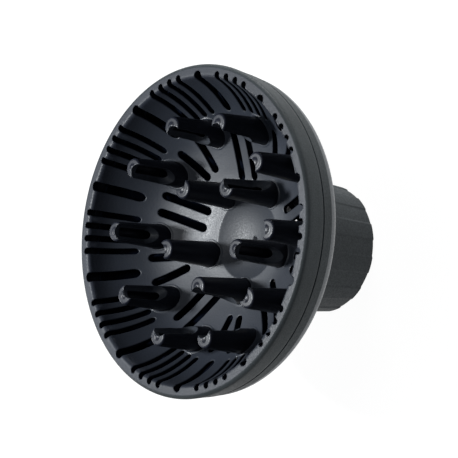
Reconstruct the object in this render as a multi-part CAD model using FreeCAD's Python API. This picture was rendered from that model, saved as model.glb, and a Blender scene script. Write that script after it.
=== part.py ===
import FreeCAD, Part
import math
import os

from FreeCAD import Vector

# Hair dryer diffuser, standing on its collar with the bowl opening upwards.
# Millimetres. Z = 0 is the collar's rear face, and the Z axis is the air path.

# Casing
RIM_R = 75.5            # outer radius of the rim
RIM_Z = 91.0            # height of the rim's flat face
SEAM_Z = 80.2           # where the bowl's skirt meets the rear cover
SEAM_R = 74.4
CREASE_Z = 74.3         # crisp edge above the rounded shoulder
CREASE_R = 73.5
SHOULDER_R = 6.0        # radius of the rounded shoulder
WALL = 2.0              # moulded wall
SEAM_GAP = 0.2          # shadow line between the two shells
EDGE_BREAK = 0.25       # small chamfer on each side of the shadow line

# Bowl, as (radius, height) on the face that hair touches
DISH_RIM = (19.33, 53.6)
DISH_DEPTH = 5.6
FLOOR_POINTS = [(27.0, 54.7), (36.0, 57.5), (51.8, 65.0), (57.5, 70.1)]
WALL_TOP = (69.0, 89.2)
FLOOR_SLOPE = (1.0, 0.10)       # direction of the floor where it meets the dish
WALL_SLOPE = (0.30, 1.0)        # direction of the wall where it meets the rim
RIM_FLAT = (70.8, 73.7)         # flat of the rim face, inner and outer radius
SKIRT_IN_R = 72.9
UNDER_RIM_Z = 88.0
GATE_R = 1.7                    # moulding gate mark in the dish
GATE_W = 0.5

# Slots
SLOT_ENDS = (57.2, 72.4)        # inner and outer end of the wall slots
WIDE_W = 4.4
NARROW_W = 2.8
NARROW_STEP = 5.0               # degrees between narrow slots
FLOOR_SLOT_W = 3.8
STRAIGHT_SLOT = ((26.7, 4.15), (51.6, 4.15))    # (along, sideways) of both ends
SPLAYED_SLOT = ((35.9, 2.76), (53.6, 6.40))
OUTER_COUNT = 10                # outer fingers, and the pitch of the whole pattern
INNER_COUNT = 5
PITCH = 360.0 / OUTER_COUNT
HALF_PITCH = PITCH / 2
INNER_FIRST = 54.0              # angle of the first inner finger

# Fingers
OUTER_PCR = 50.3                # radius of the outer ring of fingers
INNER_PCR = 24.7
OUTER_TIP_Z = 91.4
INNER_TIP_Z = 83.2
TIP_R = 4.65
DRAFT = math.tan(math.radians(3.0))
NUB_R = 2.1                     # small dome in the middle of the tip
NUB_H = 0.6
TIP_FLAT_R = 3.5                # flat ring round the dome
TIP_ROUND = 1.15                # rounding from the ring to the side
CHANNEL_R = 4.2                 # scooped air channel on one side of the finger
CHANNEL_OUT = 4.4               # channel axis, from the finger's axis
OUTER_SCOOP = (10.7, 55.0)      # channel's straight end above the floor, lean of its ramp in degrees
INNER_SCOOP = (11.4, 45.0)
CORE_TIP_R = 2.1                # hollow core, which the channel opens along its length
CORE_BASE_R = 2.5
CORE_TOP = 3.0                  # the core ends this far below the tip
FLANGE_R = 6.7
FLANGE_T = 1.2
FOOT_REACH = 3.0                # an inner finger's foot reaches this far in under the dish
DISH_PLAY = 0.02                # between the foot and the back of the dish
LIP_W = 0.7                     # raised lip round each finger socket
LIP_H = 0.45
FINGER_GAP = 0.04               # push fit in the bowl

# Neck of the rear cover and the parts that it holds
CONE_FOOT = (35.4, 39.4)
NECK_R = 30.0
NECK_Z = 34.0
NECK_WEB = 2.5
NECK_IN_R = 28.0
BORE_R = 21.6
KEY_W = 3.0

# Screws that hold the shells together
SCREW_COUNT = 5
SCREW_PCR = 39.2
SCREW_SEAT_Z = 47.0
SCREW_JOIN_Z = 48.5
SCREW_R = 1.4
SCREW_LENGTH = 8.0
HEAD_R = 2.6
HEAD_H = 1.6
BOSS_R = 3.2
WELL_R = 4.4

# Clamp for the dryer's nozzle
NOZZLE_R = 25.0                 # open clamp, at the rubber pads
JAW_COUNT = 6
JAW_TRAVEL = 4.0
TWIST = 60.0                    # degrees of the collar for the full travel
PAD_T = 1.2
ARM_T = 1.5
ARM_HALF = 17.0                 # half angle of a jaw's arm
PAD_HALF = 16.0
ARM_Z = (1.5, 24.7)
PAD_Z = (2.5, 23.5)
FOOT_X = (24.2, 29.2)
FOOT_W = 8.0
FOOT_Z = (27.3, 30.5)
NECKING_W = 6.0
PIN_R = 1.05
PIN_X = 28.0
PIN_TOP = 32.8
GUIDE_Z = (25.0, 30.75)
GUIDE_FLOOR = 27.1
GUIDE_R = 29.6
TUBE_R = (19.5, 21.5)
TUBE_TOP = 38.5
SLIDE_GAP = 0.1

# Collar
COLLAR_Z = 38.0
COLLAR_R = (30.5, 33.2)         # at the rear face and at the casing end
LAND_DEPTH = (0.42, 0.08)       # depth of the recessed lands at the same two ends
LAND_COUNT = 12
LAND_CENTRE = 15.0              # angle of the middle of the first raised land
LAND_STEP = 1.8                 # degrees that a step takes
TOP_RELIEF = 0.5                # wider bore at the casing end
COLLAR_BORE = 28.3
COLLAR_STEP_Z = 24.4
COLLAR_MID_R = 29.95
COLLAR_TOP_R = 30.35
CAM_R = (21.58, 30.2)
CAM_Z = (31.05, 33.05)
CAM_SLOT = 1.2                  # half width of a spiral slot
CAM_TAB = (6.0, 0.7)            # width and reach of the cam plate's keys
CAM_TABS = 3
TAB_PLAY = 0.05
CAM_RUNOUT = 1.5                # degrees of slot past the pin at each end
CAM_POINTS = 9
WASHER_R = (23.0, 29.4)
WASHER_Z = (33.35, 34.0)
CLIP_R = (20.75, 24.5)
CLIP_Z = (36.55, 37.55)
CLIP_GAP_W = 12.0

AXIS = Vector(0, 0, 1)
ORIGIN = Vector(0, 0, 0)
FAR = 100.0


def turned(shape, degrees):
    """A copy of the shape turned about the air path."""
    copy = shape.copy()
    copy.rotate(ORIGIN, AXIS, degrees)
    return copy


def moved(shape, x=0.0, y=0.0, z=0.0):
    copy = shape.copy()
    copy.translate(Vector(x, y, z))
    return copy


def xz(point):
    return Vector(point[0], 0, point[1])


def line(a, b):
    return Part.makeLine(xz(a), xz(b))


def lines(points):
    return [line(a, b) for a, b in zip(points, points[1:])]


def arc(a, middle, b):
    return Part.Arc(xz(a), xz(middle), xz(b)).toShape()


def curve(points, start, end):
    """A smooth curve through the points, with its direction given at both ends."""
    spline = Part.BSplineCurve()
    spline.interpolate(
        Points=[xz(p) for p in points],
        InitialTangent=xz(start),
        FinalTangent=xz(end),
    )
    return spline


def revolved(edges):
    """The solid of a closed outline in the XZ plane turned about the Z axis."""
    face = Part.Face(Part.Wire(edges))
    return face.revolve(ORIGIN, AXIS, 360)


def ring(inner, outer, low, high):
    tube = Part.makeCylinder(outer, high - low, Vector(0, 0, low))
    return tube.cut(Part.makeCylinder(inner, high - low + 2, Vector(0, 0, low - 1)))


def box(x, y, z):
    """A box between pairs of limits."""
    size = (x[1] - x[0], y[1] - y[0], z[1] - z[0])
    return Part.makeBox(*size, Vector(x[0], y[0], z[0]))


def sector(inner, outer, half_angle, low, high):
    """Part of a tube, centred on the X axis."""
    solid = ring(inner, outer, low, high)
    wedge = [ORIGIN]
    for angle in (-half_angle, 0.0, half_angle):
        a = math.radians(angle)
        wedge.append(Vector(FAR * math.cos(a), FAR * math.sin(a), 0))
    wedge.append(ORIGIN)
    prism = Part.Face(Part.makePolygon(wedge)).extrude(Vector(0, 0, FAR))
    return solid.common(prism)


def slot(end_a, end_b, width, low, high):
    """An upright prism with round ends, between the two outermost points of its middle line."""
    a = Vector(end_a[0], end_a[1], low)
    b = Vector(end_b[0], end_b[1], low)
    along = (b - a).normalize()
    side = Vector(-along.y, along.x, 0) * (width / 2)
    near = a + along * (width / 2)
    far = b - along * (width / 2)
    edges = [
        Part.makeLine(near + side, far + side),
        Part.Arc(far + side, b, far - side).toShape(),
        Part.makeLine(far - side, near - side),
        Part.Arc(near - side, a, near + side).toShape(),
    ]
    return Part.Face(Part.Wire(edges)).extrude(Vector(0, 0, high - low))


def save(name, shape):
    solid = shape.removeSplitter()
    if solid.ShapeType != "Compound" and len(solid.Solids) == 1:
        solid = solid.Solids[0]
    solid.exportStep("parts/" + name + ".step")
    print(name, len(solid.Solids), round(solid.Volume / 1000, 2), "cm3", solid.isValid())


# Bowl surfaces

BOWL_POINTS = [DISH_RIM] + FLOOR_POINTS + [WALL_TOP]
BOWL_CURVE = curve(BOWL_POINTS, FLOOR_SLOPE, WALL_SLOPE)
BOWL_STEPS = 8


def bowl_offset(distance):
    """The bowl's curve, moved out through its wall; a negative distance moves it into the bowl."""
    points = []
    first, last = BOWL_CURVE.FirstParameter, BOWL_CURVE.LastParameter
    for step in range(BOWL_STEPS + 1):
        parameter = first + (last - first) * step / BOWL_STEPS
        point = BOWL_CURVE.value(parameter)
        along = BOWL_CURVE.tangent(parameter)[0]
        points.append((point.x + along.z * distance, point.z - along.x * distance))
    return curve(points, FLOOR_SLOPE, WALL_SLOPE), points


def dish_centre():
    radius = (DISH_RIM[0] ** 2 + DISH_DEPTH ** 2) / (2 * DISH_DEPTH)
    return DISH_RIM[1] - DISH_DEPTH + radius, radius


def dish_arc(distance, end):
    """The dish's outline from the axis to the end point, moved out by the distance."""
    centre, radius = dish_centre()
    radius += distance
    half = end[0] / 2
    middle = (half, centre - math.sqrt(radius ** 2 - half ** 2))
    return arc((0, centre - radius), middle, end), (0, centre - radius)


def on_dish(distance, r):
    centre, radius = dish_centre()
    return r, centre - math.sqrt((radius + distance) ** 2 - r ** 2)


def inwards(point, reach):
    """The floor carried on towards the axis in a straight line; nothing when the reach is 0."""
    if reach == 0:
        return []
    return [(point[0] - reach, point[1] - reach * FLOOR_SLOPE[1] / FLOOR_SLOPE[0])]


def band(inner, outer, reach=0):
    """A shell that follows the floor and wall between two offsets, without the rim."""
    near_curve, near = bowl_offset(inner)
    far_curve, far = bowl_offset(outer)
    edges = [near_curve.toShape(), line(near[-1], far[-1]), far_curve.toShape()]
    edges += lines([far[0]] + inwards(far[0], reach) + inwards(near[0], reach) + [near[0]])
    return revolved(edges)


def above_floor(distance, reach=0):
    """Everything above the bowl's surface moved by the distance, inside the rim."""
    near_curve, near = bowl_offset(distance)
    top = OUTER_TIP_Z + 5
    inner_end = (inwards(near[0], reach) + [near[0]])[0]
    edges = [near_curve.toShape()]
    edges += lines([near[-1], (near[-1][0], top), (inner_end[0], top)] + inwards(near[0], reach) + [near[0]])
    return revolved(edges)


def floor_height(radius):
    """Height of the bowl's surface at a radius."""
    probe = Part.Line(Vector(radius, 0, 0), Vector(radius, 0, FAR))
    return BOWL_CURVE.intersectCC(probe)[0].Z


# Fingers

def finger_outline(base_z, tip_z, grow=0.0):
    """Solid finger on the Z axis: tapered side, flat ring at the tip and a small dome in its middle."""
    ring_z = tip_z - NUB_H
    side_z = ring_z - TIP_ROUND
    base_r = TIP_R + (side_z - base_z) * DRAFT + grow
    dome_r = (NUB_R ** 2 + NUB_H ** 2) / (2 * NUB_H)
    half = NUB_R / 2
    dome_middle = (half, tip_z - dome_r + math.sqrt(dome_r ** 2 - half ** 2))
    bulge = math.sqrt(0.5)
    corner = (TIP_FLAT_R + (TIP_R - TIP_FLAT_R) * bulge, side_z + TIP_ROUND * bulge)
    edges = [
        arc((0, tip_z), dome_middle, (NUB_R, ring_z)),
        line((NUB_R, ring_z), (TIP_FLAT_R, ring_z)),
        arc((TIP_FLAT_R, ring_z), corner, (TIP_R + grow, side_z)),
    ]
    edges += lines([(TIP_R + grow, side_z), (base_r, base_z), (0, base_z), (0, tip_z)])
    return revolved(edges)


def channel(straight_end, lean):
    """Cutter for the scooped channel: a round trough whose lower end turns outwards."""
    bend = Vector(CHANNEL_OUT, 0, straight_end)
    a = math.radians(lean)
    outwards = Vector(math.sin(a), 0, -math.cos(a))
    trough = Part.makeCylinder(CHANNEL_R, FAR, bend)
    ramp = Part.makeCylinder(CHANNEL_R, FAR, bend, outwards)
    ball = Part.makeSphere(CHANNEL_R, bend)
    return trough.fuse([ramp, ball])


def finger(pcr, tip_z, scoop, facing):
    """A hollow finger at its place on the X axis; facing is 1 for a channel that faces outwards."""
    floor_z = floor_height(pcr)
    low = floor_z - 10
    core_top = tip_z - CORE_TOP
    core = Part.makeCone(CORE_BASE_R, CORE_TIP_R, core_top - low, Vector(0, 0, low))
    body = finger_outline(low, tip_z).cut([channel(floor_z + scoop[0], scoop[1]), core])
    if facing < 0:
        body = turned(body, 180)
    body = moved(body, x=pcr).common(above_floor(WALL + FLANGE_T, FOOT_REACH))
    flange = Part.makeCylinder(FLANGE_R, 40, Vector(pcr, 0, floor_z - 20))
    flange = flange.common(band(WALL, WALL + FLANGE_T, FOOT_REACH))
    centre, radius = dish_centre()
    dish = Part.makeSphere(radius + WALL + DISH_PLAY, Vector(0, 0, centre))
    return body.fuse(flange.cut([moved(core, x=pcr), dish]))


def socket_cutter(pcr, tip_z):
    floor_z = floor_height(pcr)
    return moved(finger_outline(floor_z - 10, tip_z, FINGER_GAP), x=pcr)


# Shells

def bowl_grille():
    rear_curve, rear = bowl_offset(WALL)
    rear_edge = on_dish(WALL, rear[0][0])
    dish_front, dish_bottom = dish_arc(0, DISH_RIM)
    dish_rear, dish_rear_bottom = dish_arc(WALL, rear_edge)
    round_in = (WALL_TOP[0] + 0.75, RIM_Z - 0.5)
    fillet = RIM_R - RIM_FLAT[1]
    round_out = (RIM_R - fillet * 0.29, RIM_Z - fillet * 0.29)
    edges = [dish_front, BOWL_CURVE.toShape(), arc(WALL_TOP, round_in, (RIM_FLAT[0], RIM_Z))]
    edges += [line((RIM_FLAT[0], RIM_Z), (RIM_FLAT[1], RIM_Z))]
    edges += [arc((RIM_FLAT[1], RIM_Z), round_out, (RIM_R, RIM_Z - fillet))]
    edges += lines([
        (RIM_R, RIM_Z - fillet),
        (SEAM_R, SEAM_Z + EDGE_BREAK),
        (SEAM_R - EDGE_BREAK, SEAM_Z),
        (SKIRT_IN_R, SEAM_Z),
        (SKIRT_IN_R, UNDER_RIM_Z),
        rear[-1],
    ])
    edges += [rear_curve.toShape()]
    if rear[0][1] - rear_edge[1] > 0.001:
        edges += [line(rear[0], rear_edge)]
    edges += [dish_rear, line(dish_rear_bottom, dish_bottom)]
    shell = revolved(Part.__sortEdges__(edges))

    lip_band = band(-LIP_H, 0.5)
    fingers = [(OUTER_PCR, OUTER_TIP_Z, PITCH * i) for i in range(OUTER_COUNT)]
    fingers += [(INNER_PCR, INNER_TIP_Z, INNER_FIRST + 2 * PITCH * i) for i in range(INNER_COUNT)]
    lips = {}
    cutters = {}
    for pcr, tip_z in ((OUTER_PCR, OUTER_TIP_Z), (INNER_PCR, INNER_TIP_Z)):
        base_r = TIP_R + (tip_z - floor_height(pcr)) * DRAFT
        post = Part.makeCylinder(base_r + LIP_W, 40, Vector(pcr, 0, floor_height(pcr) - 20))
        lips[pcr] = post.common(lip_band)
        cutters[pcr] = socket_cutter(pcr, tip_z)
    shell = shell.fuse([turned(lips[pcr], angle) for pcr, tip_z, angle in fingers])

    boss = Part.makeCylinder(BOSS_R, FAR, Vector(SCREW_PCR, 0, SCREW_JOIN_Z)).cut(above_floor(0.5))
    boss = boss.common(Part.makeCylinder(BOSS_R, 12, Vector(SCREW_PCR, 0, SCREW_JOIN_Z)))
    shell = shell.fuse([turned(boss, 2 * PITCH * i) for i in range(SCREW_COUNT)])

    holes = [turned(cutters[pcr], angle) for pcr, tip_z, angle in fingers]
    top = RIM_Z + 1
    low = 60.0
    inner, outer = SLOT_ENDS
    wide = slot((inner, 0), (outer, 0), WIDE_W, low, top)
    narrow = slot((inner, 0), (outer, 0), NARROW_W, low, top)
    for i in range(OUTER_COUNT):
        holes.append(turned(wide, HALF_PITCH + PITCH * i))
        for k in (-1.5, -0.5, 0.5, 1.5):
            holes.append(turned(narrow, PITCH * i + NARROW_STEP * k))
    for i in range(INNER_COUNT):
        for side in (-1, 1):
            for ends, angle in ((STRAIGHT_SLOT, HALF_PITCH), (SPLAYED_SLOT, INNER_FIRST)):
                a = (ends[0][0], ends[0][1] * side)
                b = (ends[1][0], ends[1][1] * side)
                holes.append(turned(slot(a, b, FLOOR_SLOT_W, 50.0, 75.0), angle + 2 * PITCH * i))
    pilot = Part.makeCylinder(SCREW_R + 0.05, SCREW_LENGTH, Vector(SCREW_PCR, 0, SCREW_JOIN_Z - 1))
    holes += [turned(pilot, 2 * PITCH * i) for i in range(SCREW_COUNT)]
    gate_z = DISH_RIM[1] - DISH_DEPTH
    holes.append(ring(GATE_R - GATE_W, GATE_R, gate_z - 0.35, gate_z + 1))
    return shell.cut(holes)


def rear_cover():
    seam_top = SEAM_Z - SEAM_GAP
    centre = (CREASE_R - SHOULDER_R, CREASE_Z)
    quarter = SHOULDER_R * math.sqrt(0.5)
    shoulder_foot = (centre[0], centre[1] - SHOULDER_R)
    tongue_r = SKIRT_IN_R - SLIDE_GAP
    inner_r = tongue_r - 1.7
    run = Vector(shoulder_foot[0] - CONE_FOOT[0], shoulder_foot[1] - CONE_FOOT[1], 0).normalize()
    inside = (-run.y * WALL, run.x * WALL)
    cone_top = (shoulder_foot[0] + inside[0], shoulder_foot[1] + inside[1])
    cone_low = (CONE_FOOT[0] + inside[0], CONE_FOOT[1] + inside[1])
    edges = lines([
        (tongue_r, seam_top),
        (SEAM_R - EDGE_BREAK, seam_top),
        (SEAM_R, seam_top - EDGE_BREAK),
        (CREASE_R, CREASE_Z),
    ])
    edges += [arc((CREASE_R, CREASE_Z), (centre[0] + quarter, centre[1] - quarter), shoulder_foot)]
    edges += lines([
        shoulder_foot,
        CONE_FOOT,
        (NECK_R, CONE_FOOT[1]),
        (NECK_R, NECK_Z),
        (BORE_R, NECK_Z),
        (BORE_R, NECK_Z + NECK_WEB),
        (NECK_IN_R, NECK_Z + NECK_WEB),
        (NECK_IN_R, cone_low[1]),
        cone_low,
        cone_top,
    ])
    edges += [arc(cone_top, (inner_r - 1.0, CREASE_Z - 2.6), (inner_r, CREASE_Z))]
    edges += lines([
        (inner_r, CREASE_Z),
        (inner_r, SEAM_Z + 2.6),
        (tongue_r - 0.3, SEAM_Z + 2.6),
        (tongue_r, SEAM_Z + 2.3),
        (tongue_r, seam_top),
    ])
    shell = revolved(Part.__sortEdges__(edges))
    well = Part.makeCylinder(WELL_R, SCREW_JOIN_Z - CONE_FOOT[1], Vector(SCREW_PCR, 0, CONE_FOOT[1]))
    outside = [shoulder_foot, CONE_FOOT, (CONE_FOOT[0], 0), (shoulder_foot[0], 0), shoulder_foot]
    well = well.cut(revolved(lines(outside)))
    shell = shell.fuse([turned(well, 2 * PITCH * i) for i in range(SCREW_COUNT)])
    counterbore = Part.makeCylinder(HEAD_R + 0.4, 12, Vector(SCREW_PCR, 0, SCREW_SEAT_Z - 12))
    through = Part.makeCylinder(SCREW_R + 0.3, 6, Vector(SCREW_PCR, 0, SCREW_SEAT_Z - 1))
    holes = []
    for i in range(SCREW_COUNT):
        holes += [turned(counterbore, 2 * PITCH * i), turned(through, 2 * PITCH * i)]
    shell = shell.cut(holes)
    key = box((-KEY_W / 2, KEY_W / 2), (TUBE_R[1] - 1.2, BORE_R + 0.5), (NECK_Z, NECK_Z + NECK_WEB))
    return shell.fuse(key)


def assembly_screws():
    shank = Part.makeCylinder(SCREW_R, SCREW_LENGTH, Vector(SCREW_PCR, 0, SCREW_SEAT_Z))
    shank = shank.makeChamfer(0.6, [shank.Edges[0]])
    head = Part.makeCylinder(HEAD_R, HEAD_H, Vector(SCREW_PCR, 0, SCREW_SEAT_Z - HEAD_H))
    head = head.makeFillet(0.5, [edge for edge in head.Edges if edge.BoundBox.ZMax < SCREW_SEAT_Z - 1])
    screw = head.fuse(shank)
    for angle in (0, 90):
        blade = box((-1.5, 1.5), (-0.35, 0.35), (SCREW_SEAT_Z - HEAD_H - 1, SCREW_SEAT_Z - HEAD_H + 0.9))
        screw = screw.cut(moved(turned(blade, angle), x=SCREW_PCR))
    return Part.makeCompound([turned(screw.Solids[0], 2 * PITCH * i) for i in range(SCREW_COUNT)])


# Clamp

def jaw_carrier():
    low, high = GUIDE_Z
    body = ring(TUBE_R[0], GUIDE_R, low, high).fuse(ring(TUBE_R[0], TUBE_R[1], high - 1, TUBE_TOP))
    holes = []
    channel_half = FOOT_W / 2 + SLIDE_GAP
    neck_half = NECKING_W / 2 + 0.15
    channel_in = FOOT_X[0] - JAW_TRAVEL - 0.2
    arm_out = NOZZLE_R + PAD_T + ARM_T
    arm_in = NOZZLE_R + PAD_T - JAW_TRAVEL - 0.3
    for i in range(JAW_COUNT):
        channel_box = box((channel_in, FAR), (-channel_half, channel_half), (GUIDE_FLOOR, high + 1))
        channel_box = channel_box.cut(ring(0.1, TUBE_R[1] + 0.001, high, high + 2))
        neck = box((arm_in, arm_out + 0.3), (-neck_half, neck_half), (low - 1, GUIDE_FLOOR + 1))
        holes += [turned(channel_box, 60 * i), turned(neck, 60 * i)]
    key_half = KEY_W / 2 + 0.05
    holes.append(box((-key_half, key_half), (TUBE_R[0] - 1, TUBE_R[1] + 1), (NECK_Z - 0.1, FAR)))
    holes.append(ring(CLIP_R[0], TUBE_R[1] + 1, CLIP_Z[0] - 0.02, CLIP_Z[1] + 0.02))
    return body.cut(holes)


def jaw():
    inner = NOZZLE_R + PAD_T
    arm = sector(inner, inner + ARM_T, ARM_HALF, *ARM_Z)
    necking_z = (ARM_Z[1] - 1, FOOT_Z[0] + 1)
    half = NECKING_W / 2
    necking = box((inner + 0.15, inner + ARM_T - 0.2), (-half, half), necking_z)
    foot = box(FOOT_X, (-FOOT_W / 2, FOOT_W / 2), FOOT_Z)
    pin = Part.makeCylinder(PIN_R, PIN_TOP - FOOT_Z[0], Vector(PIN_X, 0, FOOT_Z[0]))
    return arm.fuse([necking, foot, pin])


def jaw_pad():
    pad = sector(NOZZLE_R, NOZZLE_R + PAD_T, PAD_HALF, *PAD_Z)
    return pad


def spiral_slot():
    """One slot of the cam plate: the pin rides from its outer end to its inner end."""
    low, high = CAM_Z[0] - 1, CAM_Z[1] + 1
    first, last = CAM_RUNOUT, -TWIST - CAM_RUNOUT

    def at(angle, off):
        radius = PIN_X + JAW_TRAVEL * angle / TWIST + off
        a = math.radians(angle)
        return Vector(radius * math.cos(a), radius * math.sin(a), low)

    angles = [first + (last - first) * i / (CAM_POINTS - 1) for i in range(CAM_POINTS)]
    outer = Part.BSplineCurve()
    outer.interpolate([at(a, CAM_SLOT) for a in angles])
    inner = Part.BSplineCurve()
    inner.interpolate([at(a, -CAM_SLOT) for a in angles])
    edges = [outer.toShape(), inner.toShape()]
    reach = math.degrees(CAM_SLOT / PIN_X)
    for end, beyond in ((first, reach), (last, -reach)):
        edges.append(Part.Arc(at(end, CAM_SLOT), at(end + beyond, 0), at(end, -CAM_SLOT)).toShape())
    wire = Part.Wire(Part.__sortEdges__(edges))
    return Part.Face(wire).extrude(Vector(0, 0, high - low))


def cam_plate():
    plate = ring(CAM_R[0], CAM_R[1], *CAM_Z)
    width, reach = CAM_TAB
    tab = box((CAM_R[1] - 1, CAM_R[1] + reach), (-width / 2, width / 2), CAM_Z)
    plate = plate.fuse([turned(tab, 120 * i) for i in range(CAM_TABS)])
    return plate.cut([turned(spiral_slot(), 60 * i) for i in range(JAW_COUNT)])


def land_wire(outer, depth, z):
    """The collar's outline at one height: raised lands and recessed lands in turn."""
    edges = []
    pitch = 360.0 / LAND_COUNT
    width = pitch / 2 - LAND_STEP

    def at(radius, angle):
        a = math.radians(angle)
        return Vector(radius * math.cos(a), radius * math.sin(a), z)

    for i in range(LAND_COUNT):
        start = i * pitch + LAND_CENTRE - width / 2
        half = start + pitch / 2
        high = (at(outer, start), at(outer, start + width / 2), at(outer, start + width))
        low = outer - depth
        deep = (at(low, half), at(low, half + width / 2), at(low, half + width))
        edges.append(Part.Arc(*high).toShape())
        edges.append(Part.makeLine(high[2], deep[0]))
        edges.append(Part.Arc(*deep).toShape())
        edges.append(Part.makeLine(deep[2], at(outer, start + pitch)))
    return Part.Wire(edges)


def collar_ring():
    bottom = land_wire(COLLAR_R[0], LAND_DEPTH[0], 0)
    top = land_wire(COLLAR_R[1], LAND_DEPTH[1], COLLAR_Z)
    body = Part.makeLoft([bottom, top], True, True)
    bore = revolved(lines([
        (0, -1),
        (COLLAR_BORE + 1.4, -1),
        (COLLAR_BORE, 0.4),
        (COLLAR_BORE, COLLAR_STEP_Z),
        (COLLAR_MID_R, COLLAR_STEP_Z),
        (COLLAR_MID_R, CAM_Z[0]),
        (COLLAR_TOP_R, CAM_Z[0]),
        (COLLAR_TOP_R, COLLAR_Z - TOP_RELIEF),
        (COLLAR_TOP_R + TOP_RELIEF, COLLAR_Z),
        (COLLAR_TOP_R + TOP_RELIEF, COLLAR_Z + 1),
        (0, COLLAR_Z + 1),
        (0, -1),
    ]))
    width, reach = CAM_TAB
    half = width / 2 + TAB_PLAY
    notch_x = (CAM_R[1] - 1, CAM_R[1] + reach + TAB_PLAY)
    notch = box(notch_x, (-half, half), (CAM_Z[0], COLLAR_Z + 1))
    return body.cut([bore] + [turned(notch, 120 * i) for i in range(CAM_TABS)])


def retaining_clip():
    clip = ring(CLIP_R[0] + 0.02, CLIP_R[1], *CLIP_Z)
    half = CLIP_GAP_W / 2
    return clip.cut(box((-half, half), (-FAR, 0), (CLIP_Z[0] - 1, CLIP_Z[1] + 1)))


def main():
    os.makedirs("parts", exist_ok=True)
    save("bowl_grille", bowl_grille())
    outer = finger(OUTER_PCR, OUTER_TIP_Z, OUTER_SCOOP, -1)
    for i in range(OUTER_COUNT):
        save("outer_finger_%02d" % (i + 1), turned(outer, PITCH * i))
    inner = finger(INNER_PCR, INNER_TIP_Z, INNER_SCOOP, 1)
    for i in range(INNER_COUNT):
        save("inner_finger_%02d" % (i + 1), turned(inner, INNER_FIRST + 2 * PITCH * i))
    save("rear_cover", rear_cover())
    save("assembly_screws", assembly_screws())
    save("jaw_carrier", jaw_carrier())
    save("retaining_clip", retaining_clip())
    save("friction_washer", ring(*WASHER_R, *WASHER_Z))
    save("cam_plate", cam_plate())
    save("collar_ring", collar_ring())
    for i in range(JAW_COUNT):
        save("jaw_%02d" % (i + 1), turned(jaw(), 60 * i))
        save("jaw_pad_%02d" % (i + 1), turned(jaw_pad(), 60 * i))


main()
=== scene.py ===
import math

import bpy
import numpy as np
from mathutils import Matrix, Vector
from mathutils.geometry import delaunay_2d_cdt


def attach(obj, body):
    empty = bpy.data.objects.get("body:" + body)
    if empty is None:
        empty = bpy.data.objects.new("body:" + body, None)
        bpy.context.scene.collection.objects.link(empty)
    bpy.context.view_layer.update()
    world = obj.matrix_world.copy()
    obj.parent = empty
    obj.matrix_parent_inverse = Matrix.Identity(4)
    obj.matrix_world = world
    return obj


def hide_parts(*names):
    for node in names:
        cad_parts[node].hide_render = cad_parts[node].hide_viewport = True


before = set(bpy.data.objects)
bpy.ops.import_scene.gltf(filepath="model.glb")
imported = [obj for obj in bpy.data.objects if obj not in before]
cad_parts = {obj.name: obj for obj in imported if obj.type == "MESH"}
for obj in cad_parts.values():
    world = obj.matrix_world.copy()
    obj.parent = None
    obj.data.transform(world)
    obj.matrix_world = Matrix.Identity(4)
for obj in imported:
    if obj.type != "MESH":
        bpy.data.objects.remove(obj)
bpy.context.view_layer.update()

# Camera: direction from the object as azimuth and elevation, and the roll about that line.
VIEW_AZIMUTH = math.radians(-5.74)
VIEW_ELEVATION = math.radians(43.15)
VIEW_ROLL = math.radians(-82.37)
VIEW_DISTANCE = 0.850
VIEW_LENS = 149.0
AIM_RIGHT = 0.0189      # the optical axis passes this far right of the rim's centre
AIM_UP = 0.0006

RIM_Z = 0.091
MIDDLE = (0, 0, RIM_Z * 0.6)    # the point the lights look at


def new_object(name, data):
    made = bpy.data.objects.new(name, data)
    bpy.context.scene.collection.objects.link(made)
    return made


def make_camera():
    back = Vector((
        math.cos(VIEW_ELEVATION) * math.cos(VIEW_AZIMUTH),
        math.cos(VIEW_ELEVATION) * math.sin(VIEW_AZIMUTH),
        math.sin(VIEW_ELEVATION),
    ))
    level = Vector((0, 0, 1)).cross(back).normalized()
    upright = back.cross(level)
    right = level * math.cos(VIEW_ROLL) + upright * math.sin(VIEW_ROLL)
    up = back.cross(right)
    aim = Vector((0, 0, RIM_Z)) + right * AIM_RIGHT + up * AIM_UP
    data = bpy.data.cameras.new("camera")
    data.lens = VIEW_LENS
    data.sensor_width = 36.0
    data.clip_start = 0.01
    data.clip_end = 50.0
    camera = new_object("camera", data)
    turn = Matrix((right, up, back)).transposed().to_4x4()
    camera.matrix_world = Matrix.Translation(aim + back * VIEW_DISTANCE) @ turn
    bpy.context.scene.camera = camera


def area_light(name, way, distance, size, watts, colour):
    """A soft light in the direction way, aimed at the middle of the object."""
    way = Vector(way).normalized()
    data = bpy.data.lights.new(name, "AREA")
    data.shape = "ELLIPSE"
    data.size, data.size_y = size
    data.energy = watts
    data.color = colour
    light = new_object(name, data)
    light.location = Vector(MIDDLE) + way * distance
    light.rotation_mode = "QUATERNION"
    light.rotation_quaternion = way.to_track_quat("Z", "Y")


# --- materials: tools ---

EDGE_LIKENESS = (0.98, 0.82)    # of the plain and the rounded normal, on open faces and on edges
NOISE_MIDDLE = (0.3, 0.7)       # where most of a coarse noise lies
SPECK_MIDDLE = (0.35, 0.65)     # where most of a fine noise lies
MIX_A, MIX_B, MIX_RESULT = 6, 7, 2      # sockets of the mix node for colours
FLOW_SCALE = 28.0               # flow patches in a moulding
FLOW_GLOSS = 0.025              # what they change the roughness by
SPECK_FINER = 1.6               # specks are this much finer than the grain
SPECK_TONE = (0.92, 1.11)
SPECK_GLOSS = 0.07


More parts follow.
